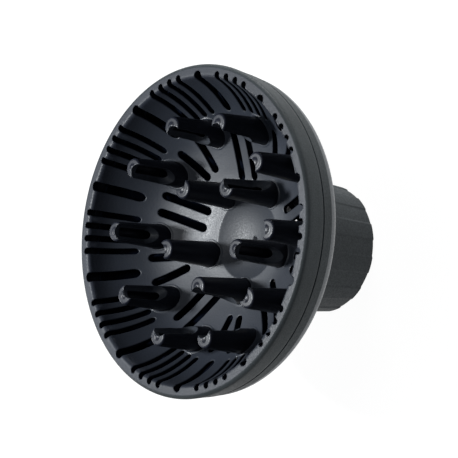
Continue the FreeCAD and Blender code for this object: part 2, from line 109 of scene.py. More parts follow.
class Shader:
    """A material's node tree, with short calls to add and join nodes."""

    def __init__(self, name):
        self.mat = bpy.data.materials.new(name)
        self.mat.use_nodes = True
        self.tree = self.mat.node_tree
        self.bsdf = self.tree.nodes["Principled BSDF"]
        self.place = self.node("ShaderNodeTexCoord").outputs["Object"]

    def node(self, kind, inputs=None, **settings):
        made = self.tree.nodes.new(kind)
        for key, value in settings.items():
            setattr(made, key, value)
        for key, value in (inputs or {}).items():
            self.put(made.inputs[key], value)
        return made

    def put(self, socket, value):
        if isinstance(value, bpy.types.NodeSocket):
            self.tree.links.new(value, socket)
        else:
            socket.default_value = value

    def noise(self, scale, detail=2.0, rough=0.5):
        inputs = {"Vector": self.place, "Scale": scale, "Detail": detail, "Roughness": rough}
        return self.node("ShaderNodeTexNoise", inputs).outputs["Fac"]

    def span(self, value, low, high, out_low, out_high):
        """The value mapped from low..high to out_low..out_high, and kept inside."""
        made = self.node("ShaderNodeMapRange", {0: value, 1: low, 2: high, 3: out_low, 4: out_high})
        made.clamp = True
        return made.outputs[0]

    def mix(self, factor, a, b):
        made = self.node("ShaderNodeMix", data_type="RGBA")
        self.put(made.inputs[0], factor)
        self.put(made.inputs[MIX_A], a)
        self.put(made.inputs[MIX_B], b)
        return made.outputs[MIX_RESULT]

    def tone(self, colour, factor):
        """The colour made lighter or darker by the factor."""
        made = self.node("ShaderNodeVectorMath", operation="SCALE")
        self.put(made.inputs[0], colour if isinstance(colour, bpy.types.NodeSocket) else colour[:3])
        self.put(made.inputs["Scale"], factor)
        return made.outputs[0]

    def height(self):
        return self.node("ShaderNodeSeparateXYZ", {0: self.place}).outputs["Z"]

    def vector(self, operation, a, b=(0.0, 0.0, 0.0)):
        """The vector result and the value result of a vector operation."""
        made = self.node("ShaderNodeVectorMath", {0: a, 1: b}, operation=operation)
        return made.outputs[0], made.outputs[1]

    def flat_place(self):
        """The place with its height left out."""
        return self.vector("MULTIPLY", self.place, (1.0, 1.0, 0.0))[0]

    def from_axis(self):
        return self.vector("LENGTH", self.flat_place())[1]

    def maths(self, operation, a, b):
        return self.node("ShaderNodeMath", {0: a, 1: b}, operation=operation).outputs[0]

    def rounded(self, radius):
        """The normal with edges rounded off by the radius."""
        return self.node("ShaderNodeBevel", {"Radius": radius}, samples=4).outputs[0]

    def edges(self, radius):
        """1 on edges and corners, 0 on open faces."""
        plain = self.node("ShaderNodeNewGeometry").outputs["Normal"]
        likeness = self.vector("DOT_PRODUCT", self.rounded(radius), plain)[1]
        return self.span(likeness, *EDGE_LIKENESS, 0.0, 1.0)

    def bump(self, strength, depth, height, radius):
        """Relief of the given depth in metres, over a normal with rounded edges."""
        soft = self.rounded(radius)
        inputs = {"Strength": strength, "Distance": depth, "Height": height, "Normal": soft}
        self.put(self.bsdf.inputs["Normal"], self.node("ShaderNodeBump", inputs).outputs[0])


def rgba(colour):
    """The colour with full opacity."""
    return (*colour, 1.0)


def plastic(
    name, colour, rough,
    grain=750.0, depth=0.00003, patch=0.12, wear=0.25, bevel=0.0003, spec=0.5, zones=(),
):
    """Moulded plastic: fine grain, faint flow patches, and a slight polish on the edges.
    Each zone is (mask maker, colour, roughness, specular) for an area with another finish, some of them
    with shade or a highlight painted into their colour."""
    s = Shader(name)
    patches = s.noise(FLOW_SCALE, 3.0)
    fine = s.noise(grain, 3.0, 0.6)
    speck = s.noise(grain * SPECK_FINER, 1.0)
    base, dull, shine = rgba(colour), rough, spec
    for area, zone_colour, zone_rough, zone_spec in zones:
        mask = area(s)
        base = s.mix(mask, base, rgba(zone_colour))
        dull = s.span(mask, 0.0, 1.0, dull, zone_rough)
        shine = s.span(mask, 0.0, 1.0, shine, zone_spec)
    body = s.tone(base, s.span(patches, *NOISE_MIDDLE, 1 - patch, 1 + patch))
    body = s.tone(body, s.span(speck, *SPECK_MIDDLE, *SPECK_TONE))
    body = s.tone(body, s.span(s.edges(bevel), 0.0, 1.0, 1.0, 1.0 + wear))
    s.put(s.bsdf.inputs["Base Color"], body)
    gloss = s.maths("ADD", s.span(speck, *SPECK_MIDDLE, SPECK_GLOSS, -SPECK_GLOSS), dull)
    gloss = s.maths("ADD", gloss, s.span(patches, *NOISE_MIDDLE, -FLOW_GLOSS, FLOW_GLOSS))
    s.put(s.bsdf.inputs["Roughness"], gloss)
    s.put(s.bsdf.inputs["Specular IOR Level"], shine)
    s.bump(1.0, depth, fine, bevel)
    return s.mat


def metal(name, colour, rough):
    """Plated steel with faint turning marks and duller patches."""
    s = Shader(name)
    patches = s.noise(300.0, 3.0)
    inputs = {"Vector": s.place, "Scale": 900.0, "Distortion": 4.0, "Detail": 2.0}
    marks = s.node("ShaderNodeTexWave", inputs, wave_type="RINGS", rings_direction="Z")
    s.put(s.bsdf.inputs["Base Color"], s.tone(colour, s.span(patches, *NOISE_MIDDLE, 0.85, 1.1)))
    s.put(s.bsdf.inputs["Metallic"], 1.0)
    s.put(s.bsdf.inputs["Roughness"], s.maths("ADD", rough, s.span(patches, *NOISE_MIDDLE, -0.06, 0.10)))
    s.bump(0.6, 0.000006, marks.outputs["Fac"], 0.0001)
    return s.mat


# --- areas with another finish, or with painted shade or a painted highlight ---

# Each limit is the start and the end of a soft step, in metres from the axis.
GATE_TO = (0.0010, 0.0012)
DISH_TO = (0.0191, 0.0193)
RIM_FACE_FROM = (0.0687, 0.0692)
SIDE_FROM = (0.0737, 0.0742)
# The same for heights.
CONE_TO = (0.0625, 0.0665)
SHOULDER_FROM = (0.064, 0.067)
SHOULDER_TO = (0.0742, 0.0744)
# Added to the way outwards, so that faces that look up count as inner ones.
DOWNWARDS = (0.0, 0.0, -0.07)
INNER_STEP = 0.005


def outer_side(s):
    """1 on the outside of the rim, 0 inside it."""
    return s.span(s.from_axis(), *SIDE_FROM, 0.0, 1.0)


def rim_face(s):
    """1 on the flat of the rim and beyond it."""
    return s.span(s.from_axis(), *RIM_FACE_FROM, 0.0, 1.0)


def dish(s):
    """1 on the shallow dish in the middle of the bowl."""
    return s.span(s.from_axis(), *DISH_TO, 1.0, 0.0)


def gate(s):
    """1 on the cut stub of the moulding gate, in the middle of the dish, which is painted near-black as
    shade.
    """
    return s.span(s.from_axis(), *GATE_TO, 1.0, 0.0)


def shoulder(s):
    """1 on the rounded shoulder below the casing's crease, whose lighter colour is a painted highlight.
    """
    low = s.span(s.height(), *SHOULDER_TO, 1.0, 0.0)
    return s.maths("MULTIPLY", low, s.span(s.height(), *SHOULDER_FROM, 0.0, 1.0))


def cone_painted_shade(s):
    """1 on the casing below its shoulder, which is painted darker as shade."""
    return s.span(s.height(), *CONE_TO, 1.0, 0.0)


def casing_inside_painted_shade(s):
    """1 on the faces of the rear cover that look towards its axis or upwards, which are painted
    near-black as shade.
    """
    normal = s.node("ShaderNodeTexCoord").outputs["Normal"]
    outwards = s.vector("ADD", s.flat_place(), DOWNWARDS)[0]
    return s.span(s.vector("DOT_PRODUCT", normal, outwards)[1], -INNER_STEP, INNER_STEP, 1.0, 0.0)


# --- bowl grille ---

MM = 0.001
TURN = 2 * math.pi

# Outline of the bowl, in millimetres, as (radius, height). All sizes below are in millimetres.
DISH_R = 19.33
DISH_DEPTH = 5.6
FLOOR = [(DISH_R, 53.6), (27.0, 54.7), (36.0, 57.5), (51.8, 65.0), (57.5, 70.1), (69.0, 89.2)]
FLOOR_START = (1.0, 0.10)
FLOOR_END = (0.30, 1.0)
WALL = 2.0
RIM_CORNER = [(0.0, 89.2), (0.20, 89.75), (0.75, 90.5), (1.25, 90.86), (1.8, 91.0)]
RIM_FLAT = (70.8, 73.7)
RIM_ROUND = 1.8
RIM_LOW = 89.2          # where the rounding of the rim ends on the outside
RIM_OUT = 75.5
SEAM_Z, SEAM_R = 80.2, 74.4
SKIRT_IN = 72.9
UNDER_RIM_Z = 88.0
UNDER_RIM_FROM = 71.1
RIM_SEGMENTS = 360

WALL_SLOT = (57.2, 72.4)        # (inner, outer) end of the slots in the wall
WALL_SLOT_WIDE = 4.4
WALL_SLOT_NARROW = 2.8
NARROW_ANGLES = (-7.5, -2.5, 2.5, 7.5)
STRAIGHT_PAIR = ((26.7, 4.15), (51.6, 4.15))
SPLAYED_PAIR = ((35.9, 2.76), (53.6, 6.40))
FLOOR_SLOT = 3.8
FLOOR_HALF = (1.6, 2.0)         # half widths between which a slot is one of the floor
WALL_SPLITS = 20                # points along each side of a slot in the wall
FLOOR_SPLITS = 32               # and of one in the floor
END_SPLITS = 9                  # points round each end of a slot
SOCKET_SPLITS = 56              # points round a socket
UNDERCUT = 2.4                  # how far a wall slot runs further in on the rear face
EDGE = 0.38                     # rounding of the slot edges
EDGE_STEPS = (0.0, 0.03, 0.09, 0.19, EDGE)
LIP_W, LIP_H = 0.7, 0.45        # lip round each finger
LIP_STEPS = (0.04, 0.10, 0.2, 0.5, 0.65, 0.8, 0.95)
LIP_SINK = 0.12                 # depth of the joint between lip and finger
LIP_RISE, LIP_FALL = 0.16, 0.4  # widths of the lip's inner and outer flank
LIP_INSIDE = 0.02               # how far the inner flank starts inside the socket
LIP_OVER = 0.25                 # how far the outer flank ends outside the lip
LIP_SLOPE = 0.9
FINGER_GAP = 0.04
GATE_DEPTH = 0.7                # groove round the stub of the gate
GATE_IN, GATE_OUT, GATE_BLEND = 1.15, 1.85, 0.15
FINGER_TIP_R = 4.65
FINGER_DRAFT = math.tan(math.radians(3.0))
OUTER_RING = (50.3, 91.4)       # (radius of the ring of fingers, height of their tips)
INNER_RING = (24.7, 83.2)


def spline(points, start, end, steps):
    """A smooth curve through the points: cubic pieces whose slopes also match,
    with given directions at both ends."""
    p = np.array(points, float)
    h = np.linalg.norm(np.diff(p, axis=0), axis=1)
    n = len(p)
    a = np.zeros((n, n))
    b = np.zeros((n, 2))
    a[0, 0] = a[-1, -1] = 1.0
    b[0] = np.array(start) / np.linalg.norm(start)
    b[-1] = np.array(end) / np.linalg.norm(end)
    for i in range(1, n - 1):
        a[i, i - 1], a[i, i], a[i, i + 1] = h[i], 2 * (h[i - 1] + h[i]), h[i - 1]
        b[i] = 3 * (h[i] * (p[i] - p[i - 1]) / h[i - 1] + h[i - 1] * (p[i + 1] - p[i]) / h[i])
    m = np.linalg.solve(a, b)
    made = []
    for i in range(n - 1):
        t = np.linspace(0, 1, steps, endpoint=i == n - 2)[:, None]
        t2, t3 = t * t, t ** 3
        made.append((2 * t3 - 3 * t2 + 1) * p[i] + (t3 - 2 * t2 + t) * h[i] * m[i]
                    + (3 * t2 - 2 * t3) * p[i + 1] + (t3 - t2) * h[i] * m[i + 1])
    return np.concatenate(made)


def with_normals(curve):
    """The curve's points with the unit normals on its left."""
    along = np.gradient(curve, axis=0)
    along /= np.linalg.norm(along, axis=1)[:, None]
    return np.column_stack([curve, -along[:, 1], along[:, 0]])


def smoothstep(x):
    x = np.clip(x, 0, 1)
    return x * x * (3 - 2 * x)


def bowl_curves():
    """Front and rear outline of the bowl as rows of radius, height and normal."""
    sphere = (DISH_R ** 2 + DISH_DEPTH ** 2) / (2 * DISH_DEPTH)
    centre = FLOOR[0][1] - DISH_DEPTH + sphere
    angle = np.linspace(0, math.asin(DISH_R / sphere), 60)
    dish = np.column_stack([sphere * np.sin(angle), centre - sphere * np.cos(angle)])
    floor = spline(FLOOR, FLOOR_START, FLOOR_END, 40)
    corner = np.array(RIM_CORNER)
    corner[:, 0] += FLOOR[-1][0]
    corner = spline(corner, FLOOR_END, (1, 0), 10)[1:]
    flat = np.column_stack([np.linspace(RIM_FLAT[0], RIM_FLAT[1], 12)[1:], np.full(11, RIM_Z / MM)])
    inner = np.concatenate([floor, corner, flat])
    front = np.concatenate([with_normals(dish)[:-1], with_normals(inner)])
    outside = sphere + WALL
    dish_rear = np.column_stack([outside * np.sin(angle), centre - outside * np.cos(angle)])
    shell = with_normals(floor)
    floor_rear = shell[:, :2] - WALL * shell[:, 2:]
    dish_rear = dish_rear[dish_rear[:, 0] < floor_rear[0, 0]]
    under = np.column_stack([np.linspace(UNDER_RIM_FROM, SKIRT_IN, 8), np.full(8, UNDER_RIM_Z)])
    floor_rear = floor_rear[floor_rear[:, 1] < UNDER_RIM_Z]
    rear = with_normals(np.concatenate([dish_rear, floor_rear, under]))
    return front, rear


FRONT, REAR = bowl_curves()


def on_curve(table, r):
    """Height and normal of an outline at the distance r from the axis."""
    return [np.interp(r, table[:, 0], table[:, k]) for k in (1, 2, 3)]


def turned_point(x, y, degrees):
    a = math.radians(degrees)
    return (x * math.cos(a) - y * math.sin(a), x * math.sin(a) + y * math.cos(a))


def slot_list(wall_start=WALL_SLOT[0]):
    """Each slot as (end a, end b, half width), the ends being the centres of its round ends."""
    slots = []

    def add(inner, outer, width, degrees):
        a, b = np.array(inner, float), np.array(outer, float)
        step = (b - a) / np.linalg.norm(b - a) * width / 2
        slots.append((turned_point(*(a + step), degrees), turned_point(*(b - step), degrees), width / 2))

    for i in range(10):
        add((wall_start, 0), (WALL_SLOT[1], 0), WALL_SLOT_WIDE, 18 + 36 * i)
        for k in NARROW_ANGLES:
            add((wall_start, 0), (WALL_SLOT[1], 0), WALL_SLOT_NARROW, 36 * i + k)
    for i in range(5):
        for side in (-1, 1):
            for (a, b), angle in ((STRAIGHT_PAIR, 18), (SPLAYED_PAIR, 54)):
                add((a[0], a[1] * side), (b[0], b[1] * side), FLOOR_SLOT, angle + 72 * i)
    return slots


def socket_list():
    """Each finger's socket as (x, y, radius)."""
    sockets = []
    for (pcr, tip), angles in ((OUTER_RING, range(0, 360, 36)), (INNER_RING, range(54, 414, 72))):
        radius = FINGER_TIP_R + (tip - float(on_curve(FRONT, pcr)[0])) * FINGER_DRAFT + FINGER_GAP
        sockets += [(*turned_point(pcr, 0, angle), radius) for angle in angles]
    return sockets


def capsule_distance(points, slot):
    """How far each point is outside a slot, and the direction away from its middle line."""
    a, b = np.array(slot[0]), np.array(slot[1])
    axis = b - a
    t = np.clip(((points - a) @ axis) / (axis @ axis), 0, 1)
    away = points - (a + t[:, None] * axis)
    length = np.linalg.norm(away, axis=1)
    return length - slot[2], away / np.maximum(length, 1e-9)[:, None]


def capsule_loop(slot, off, straight):
    """The outline of a slot, made wider by off on every side."""
    a, b = np.array(slot[0]), np.array(slot[1])
    axis = (b - a) / np.linalg.norm(b - a)
    side = np.array((-axis[1], axis[0]))
    radius = slot[2] + off
    loop = []
    for start, end, sign in ((a, b, -1), (b, a, 1)):
        for k in range(straight):
            loop.append(start + (end - start) * k / straight + side * radius * sign)
        for k in range(END_SPLITS):
            t = math.pi * k / END_SPLITS
            loop.append(end + radius * (math.cos(t) * side * sign - math.sin(t) * axis * sign))
    return np.array(loop)


def circle(x, y, radius, count):
    t = np.arange(count) * TURN / count
    return np.column_stack([x + radius * np.cos(t), y + radius * np.sin(t)])


class Builder:
    """Collects faces with a normal for each corner, and makes one mesh of them."""

    def __init__(self):
        self.verts, self.faces, self.normals, self.slots = [], [], [], []
        self.count = 0

    def points(self, array):
        first = self.count
        self.verts.append(np.asarray(array, float))
        self.count += len(array)
        return first

    def face(self, corners, normals, slot=0):
        self.faces.append(tuple(int(c) for c in corners))
        self.normals.extend(normals)
        self.slots.append(slot)

    def object(self, name):
        mesh = bpy.data.meshes.new(name)
        mesh.from_pydata((np.concatenate(self.verts) * MM).tolist(), [], self.faces)
        mesh.polygons.foreach_set("use_smooth", [True] * len(mesh.polygons))
        mesh.polygons.foreach_set("material_index", self.slots)
        mesh.normals_split_custom_set([Vector(n).normalized() for n in self.normals])
        mesh.update()
        return new_object(name, mesh)

    def lathe(self, rows, count, first_ring, last_ring):
        """Turns rows of (r, z, normal before, normal after) about the Z axis."""
        t = np.arange(count) * TURN / count
        c, s = np.cos(t), np.sin(t)
        rings = []
        for k, row in enumerate(rows):
            if k == 0:
                rings.append(first_ring)
            elif k == len(rows) - 1:
                rings.append(last_ring)
            else:
                ring = np.column_stack([row[0] * c, row[0] * s, np.full(count, row[1])])
                start = self.points(ring)
                rings.append(np.arange(start, start + count))
        for k in range(len(rows) - 1):
            before, after = rows[k][3], rows[k + 1][2]
            na = np.column_stack([before[0] * c, before[0] * s, np.full(count, before[1])])
            nb = np.column_stack([after[0] * c, after[0] * s, np.full(count, after[1])])
            low, high = rings[k], rings[k + 1]
            for i in range(count):
                j = (i + 1) % count
                self.face((low[i], low[j], high[j], high[i]), (na[i], na[j], nb[j], nb[i]))


def lathe_rows(points, sharp=()):
    """Rows for Builder.lathe. The outline runs with the solid on its left, seen with r to the
    right and z up. Corners in sharp stay crisp."""
    p = np.array(points, float)
    step = np.diff(p, axis=0)
    step /= np.linalg.norm(step, axis=1)[:, None]
    side = np.column_stack([step[:, 1], -step[:, 0]])
    rows = []
    for k in range(len(p)):
        before = side[max(k - 1, 0)]
        after = side[min(k, len(side) - 1)]
        if k not in sharp:
            before = after = (before + after) / np.linalg.norm(before + after)
        rows.append((p[k][0], p[k][1], tuple(before), tuple(after)))
    return rows


def triangulate(points, loops):
    """Triangles over the points that keep to the edges of the loops."""
    edges = [(loop[i], loop[(i + 1) % len(loop)]) for loop in loops for i in range(len(loop))]
    made = delaunay_2d_cdt([Vector(p) for p in points], edges, [], 0, 1e-7)
    back = {}
    for new, old in enumerate(made[3]):
        for k in old:
            back[new] = k
    return [tuple(back[v] for v in face) for face in made[2] if all(v in back for v in face)]


def free_of(points, slots, sockets, clear):
    """Which points are outside every slot and socket by the clearance."""
    keep = np.ones(len(points), bool)
    for slot in slots:
        keep &= capsule_distance(points, slot)[0] > clear
    for x, y, radius in sockets:
        keep &= np.hypot(points[:, 0] - x, points[:, 1] - y) > radius + clear
    return keep


def plate(builder, radii, arc, slots, sockets, edge_steps, socket_steps, boundary, place, upward):
    """One side of the bowl: a surface over its plan with the slots and sockets left out.
    Gives the points in plan, the number of the first one, the outline loops and the outer ring."""
    parts = []
    total = 0

    def put(array):
        nonlocal total
        parts.append(array)
        total += len(array)
        return list(range(total - len(array), total))

    outer = put(circle(0, 0, boundary, RIM_SEGMENTS))
    outlines = []
    for slot in slots:
        straight = FLOOR_SPLITS if FLOOR_HALF[0] <= slot[2] <= FLOOR_HALF[1] else WALL_SPLITS
        outlines.append(put(capsule_loop(slot, edge_steps[0], straight)))
        for off in edge_steps[1:]:
            put(capsule_loop(slot, off, straight))
    for x, y, radius in sockets:
        outlines.append(put(circle(x, y, radius, SOCKET_SPLITS)))
        for off in socket_steps:
            put(circle(x, y, radius + off, SOCKET_SPLITS))
    grid = [np.zeros((1, 2))]
    for r in radii[1:]:
        grid.append(circle(0, 0, r, int(np.clip(round(TURN * r / arc), 12, RIM_SEGMENTS))))
    grid = np.concatenate(grid)
    margin = max(edge_steps[-1], socket_steps[-1] if socket_steps else 0) + 0.3
    put(grid[free_of(grid, slots, sockets, margin)])
    points = np.concatenate(parts)
    faces = triangulate(points, outlines + [outer])
    positions, normals = place(points, slots, sockets)
    first = builder.points(positions)
    hole = {v: k for k, loop in enumerate(outlines) for v in loop}
    for face in faces:
        holes = {hole.get(v, -1 - v) for v in face}
        if len(holes) == 1:
            continue
        corners = face if upward else face[::-1]
        builder.face([first + v for v in corners], [normals[v] for v in corners], 0 if upward else 1)
    return points, first, outlines, outer


def gate_groove(r):
    """1 in the groove round the stub of the gate, 0 beside it."""
    return smoothstep((r - GATE_IN) / GATE_BLEND) * smoothstep((GATE_OUT - r) / GATE_BLEND)


def front_place(points, slots, sockets):
    """Heights and normals of the face that hair touches, with rounded slot edges and raised lips."""
    r = np.maximum(np.hypot(points[:, 0], points[:, 1]), 1e-9)
    out = points / r[:, None]
    z, nr, nz = on_curve(FRONT, r)
    flat = np.column_stack([out * nr[:, None], nz])
    normal = flat.copy()
    sunk = np.zeros(len(points))
    for slot in slots:
        d, away = capsule_distance(points, slot)
        near = d < EDGE
        lean = np.clip((EDGE - d[near]) / EDGE, 0, 1)
        sunk[near] = EDGE - EDGE * np.sqrt(1 - lean ** 2)
        tilt = np.column_stack([-away[near], np.zeros(near.sum())])
        normal[near] = normal[near] * np.sqrt(1 - lean ** 2)[:, None] + tilt * lean[:, None]
    raised = np.zeros(len(points))
    for x, y, radius in sockets:
        away = points - (x, y)
        length = np.hypot(away[:, 0], away[:, 1])
        d = length - radius
        near = d < LIP_W + LIP_FALL
        up = smoothstep((d[near] + LIP_INSIDE) / LIP_RISE)
        down = smoothstep((LIP_W + LIP_OVER - d[near]) / LIP_FALL)
        raised[near] = LIP_H * down - LIP_SINK * (1 - up)
        outer_slope = np.where(down < 1, LIP_SLOPE * np.sin(np.pi * down), 0)
        slope = np.where(d[near] < LIP_RISE - LIP_INSIDE, -LIP_SLOPE * (1 - up), outer_slope)
        sideways = away[near] / np.maximum(length[near], 1e-9)[:, None]
        tilt = np.column_stack([sideways, np.zeros(near.sum())])
        normal[near] = normal[near] + tilt * slope[:, None]
    step = 0.02
    groove = gate_groove(r)
    normal[:, :2] += out * (GATE_DEPTH * (gate_groove(r + step) - groove) / step)[:, None]
    shift = raised - sunk - GATE_DEPTH * groove
    base = np.column_stack([points, z])
    return base + flat * shift[:, None], normal / np.linalg.norm(normal, axis=1)[:, None]


def rear_place(points, _slots, _sockets):
    """Heights and normals of the rear face, which is plain."""
    r = np.maximum(np.hypot(points[:, 0], points[:, 1]), 1e-9)
    out = points / r[:, None]
    z, nr, nz = on_curve(REAR, r)
    return np.column_stack([points, z]), -np.column_stack([out * nr[:, None], nz])


# Distances from the axis at which the two faces of the bowl have rings of points.
FRONT_RINGS = [
    0, 0.6, 1.0, 1.15, 1.3, 1.5, 1.7, 1.85, 2.2, *np.arange(3.2, 18.6, 1.4),
    18.7, DISH_R - 0.25, DISH_R - 0.1, DISH_R + 0.1, DISH_R + 0.25, 20.0, *np.arange(21.0, 56.0, 1.2),
    *np.arange(56.2, 69.0, 0.55), 69.1, 69.3, 69.55, 69.85, 70.2, 70.55, 70.85, 71.6, 72.5, 73.2,
]
REAR_RINGS = [
    0, *np.arange(4.0, 19.0, 2.5), *np.arange(20.0, 56.0, 2.0), *np.arange(57.0, 71.0, 0.9), 71.1, 72.0,
]
FRONT_ARC, REAR_ARC = 1.6, 2.4  # distance between the points of a ring


def join_outlines(b, front, rear):
    """The walls of the slots and sockets, from the front face to the rear face."""
    front_plan, front_first, front_loops, _ = front
    _, rear_first, rear_loops, _ = rear
    for front_loop, rear_loop in zip(front_loops, rear_loops):
        plan = front_plan[front_loop]
        centre = plan.mean(axis=0)
        count = len(front_loop)
        side = np.roll(plan, -1, axis=0) - np.roll(plan, 1, axis=0)
        inward = np.column_stack([side[:, 1], -side[:, 0]])
        inward *= np.sign(((centre - plan) * inward).sum(axis=1).mean())
        inward = np.column_stack([inward, np.zeros(count)])
        inward /= np.linalg.norm(inward, axis=1)[:, None]
        for i in range(count):
            j = (i + 1) % count
            upper = [front_first + front_loop[i], front_first + front_loop[j]]
            lower = [rear_first + rear_loop[j], rear_first + rear_loop[i]]
            corners = upper + lower
            normals = [inward[i], inward[j], inward[j], inward[i]]
            to_centre = centre - plan[i]
            if side[i][0] * to_centre[1] - side[i][1] * to_centre[0] < 0:
                corners, normals = corners[::-1], normals[::-1]
            b.face(corners, normals, 1)


def rim_outline():
    """The outside of the bowl from its under side over the skirt and the seam to the rim."""
    quarter = np.linspace(0, math.pi / 2, 9)
    rim_top = RIM_Z / MM
    top = [
        (RIM_FLAT[1] + RIM_ROUND * math.sin(t), rim_top - RIM_ROUND * (1 - math.cos(t)))
        for t in quarter
    ]
    side = [
        (RIM_OUT + (SEAM_R - RIM_OUT) * k, RIM_LOW + (SEAM_Z + 0.5 - RIM_LOW) * k)
        for k in (0.25, 0.5, 0.75)
    ]
    low = [(SEAM_R + 0.02, SEAM_Z + 0.4), (SEAM_R - 0.08, SEAM_Z + 0.14), (SEAM_R - 0.3, SEAM_Z)]
    skirt = [(SKIRT_IN + 0.1, SEAM_Z)]
    skirt += [(SKIRT_IN, z) for z in (SEAM_Z + 0.1, 84.0, UNDER_RIM_Z)]
    return (top + side + low + skirt)[::-1]


def make_bowl():
    slots, sockets = slot_list(), socket_list()
    rear_slots = slot_list(WALL_SLOT[0] - UNDERCUT)
    b = Builder()
    front = plate(
        b, FRONT_RINGS, FRONT_ARC, slots, sockets, EDGE_STEPS, LIP_STEPS, RIM_FLAT[1], front_place, True,
    )
    rear = plate(b, REAR_RINGS, REAR_ARC, rear_slots, sockets, (0.0,), (), SKIRT_IN, rear_place, False)
    join_outlines(b, front, rear)
    first_ring = [rear[1] + v for v in rear[3]]
    last_ring = [front[1] + v for v in front[3]]
    b.lathe(lathe_rows(rim_outline(), sharp=(0,)), RIM_SEGMENTS, first_ring, last_ring)
    bowl = b.object("bowl_shell")
    # material slot 1, on the slot walls and the rear face, carries painted shade
    bowl.data.materials.append(charcoal)
    bowl.data.materials.append(slot_shade_mat)
    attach(bowl, "casing")
    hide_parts("bowl_grille")


# --- fingers ---

SOFT_VOXEL = 0.00020    # metres
SOFT_STEPS = 5
KEPT_FACES = 0.35


def softened(node):
    """A copy of a CAD node's mesh with its edges rounded, as a moulding has them."""
    source = new_object("soften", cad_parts[node].data.copy())
    weld = source.modifiers.new("weld", "WELD")
    weld.merge_threshold = 1e-6
    remesh = source.modifiers.new("remesh", "REMESH")
    remesh.mode = "VOXEL"
    remesh.voxel_size = SOFT_VOXEL
    relax = source.modifiers.new("relax", "SMOOTH")
    relax.factor = 0.5
    relax.iterations = SOFT_STEPS
    thin = source.modifiers.new("thin", "DECIMATE")
    thin.ratio = KEPT_FACES
    graph = bpy.context.evaluated_depsgraph_get()
    mesh = bpy.data.meshes.new_from_object(source.evaluated_get(graph))
    bpy.data.objects.remove(source)
    mesh.polygons.foreach_set("use_smooth", [True] * len(mesh.polygons))
    mesh.materials.clear()
    return mesh


CHANNEL_R = 4.2         # radius of the scooped channel
CHANNEL_OUT = 4.4       # its axis, from the finger's axis
CHANNEL_PLAY = 0.2      # what the softening moves a face by


def channel_faces(mesh, ring, first, facing, straight, lean):
    """1 for each face of a finger that lies in its scooped channel, 0 for the rest.
    The finger stands on the ring at the angle first. Its channel faces outwards (1) or the
    axis (-1), bends at the height straight above the floor, and then leans by lean degrees."""
    centres = np.empty(len(mesh.polygons) * 3)
    mesh.polygons.foreach_get("center", centres)
    centres = centres.reshape(-1, 3) / MM
    turn = math.radians(-first)
    x = centres[:, 0] * math.cos(turn) - centres[:, 1] * math.sin(turn)
    y = centres[:, 0] * math.sin(turn) + centres[:, 1] * math.cos(turn)
    bend = (CHANNEL_OUT, 0, float(on_curve(FRONT, ring)[0]) + straight)
    local = np.column_stack([(x - ring) * facing, y, centres[:, 2]]) - bend
    lean = math.radians(lean)
    nearest = np.full(len(local), np.inf)
    for axis in ((0, 0, 1), (math.sin(lean), 0, -math.cos(lean))):
        along = np.maximum(local @ np.array(axis), 0)
        away = np.linalg.norm(local - along[:, None] * np.array(axis), axis=1)
        nearest = np.minimum(nearest, away)
    return (nearest < CHANNEL_R + CHANNEL_PLAY).astype(np.int32)


# Each kind of finger with its count, the angle between two, and its channel.
FINGERS = (
    ("outer_finger", 10, 36, (OUTER_RING[0], 0, -1, 10.7, 55.0)),
    ("inner_finger", 5, 72, (INNER_RING[0], 54, 1, 11.4, 45.0)),
)


def make_fingers():
    for kind, count, step, channel in FINGERS:
        mesh = softened(kind + "_01")
        mesh.name = kind
        # the finger body's near-black colour is painted shade, and the lighter channel faces are painted
        # light
        mesh.materials.append(finger_shade_mat)
        mesh.materials.append(channel_lit_mat)
        # channel faces get the material with painted light
        mesh.polygons.foreach_set("material_index", channel_faces(mesh, *channel))
        for i in range(count):
            number = "_%02d" % (i + 1)
            piece = new_object(kind + number + "_shell", mesh)
            piece.rotation_euler = (0, 0, math.radians(step * i))
            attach(piece, "casing")
            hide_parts(kind + number)


# --- rubber pads of the clamp ---

PAD_IN, PAD_OUT = 25.0, 26.2    # radii of the inner and outer face
PAD_HALF = math.radians(16.0)
PAD_LOW, PAD_HIGH = 2.5, 23.5   # heights
PAD_ROUND = 0.35
PAD_PLAIN = 0.6                 # border without ribs
PAD_RIBS = 9
PAD_RIB_DEPTH = 0.28


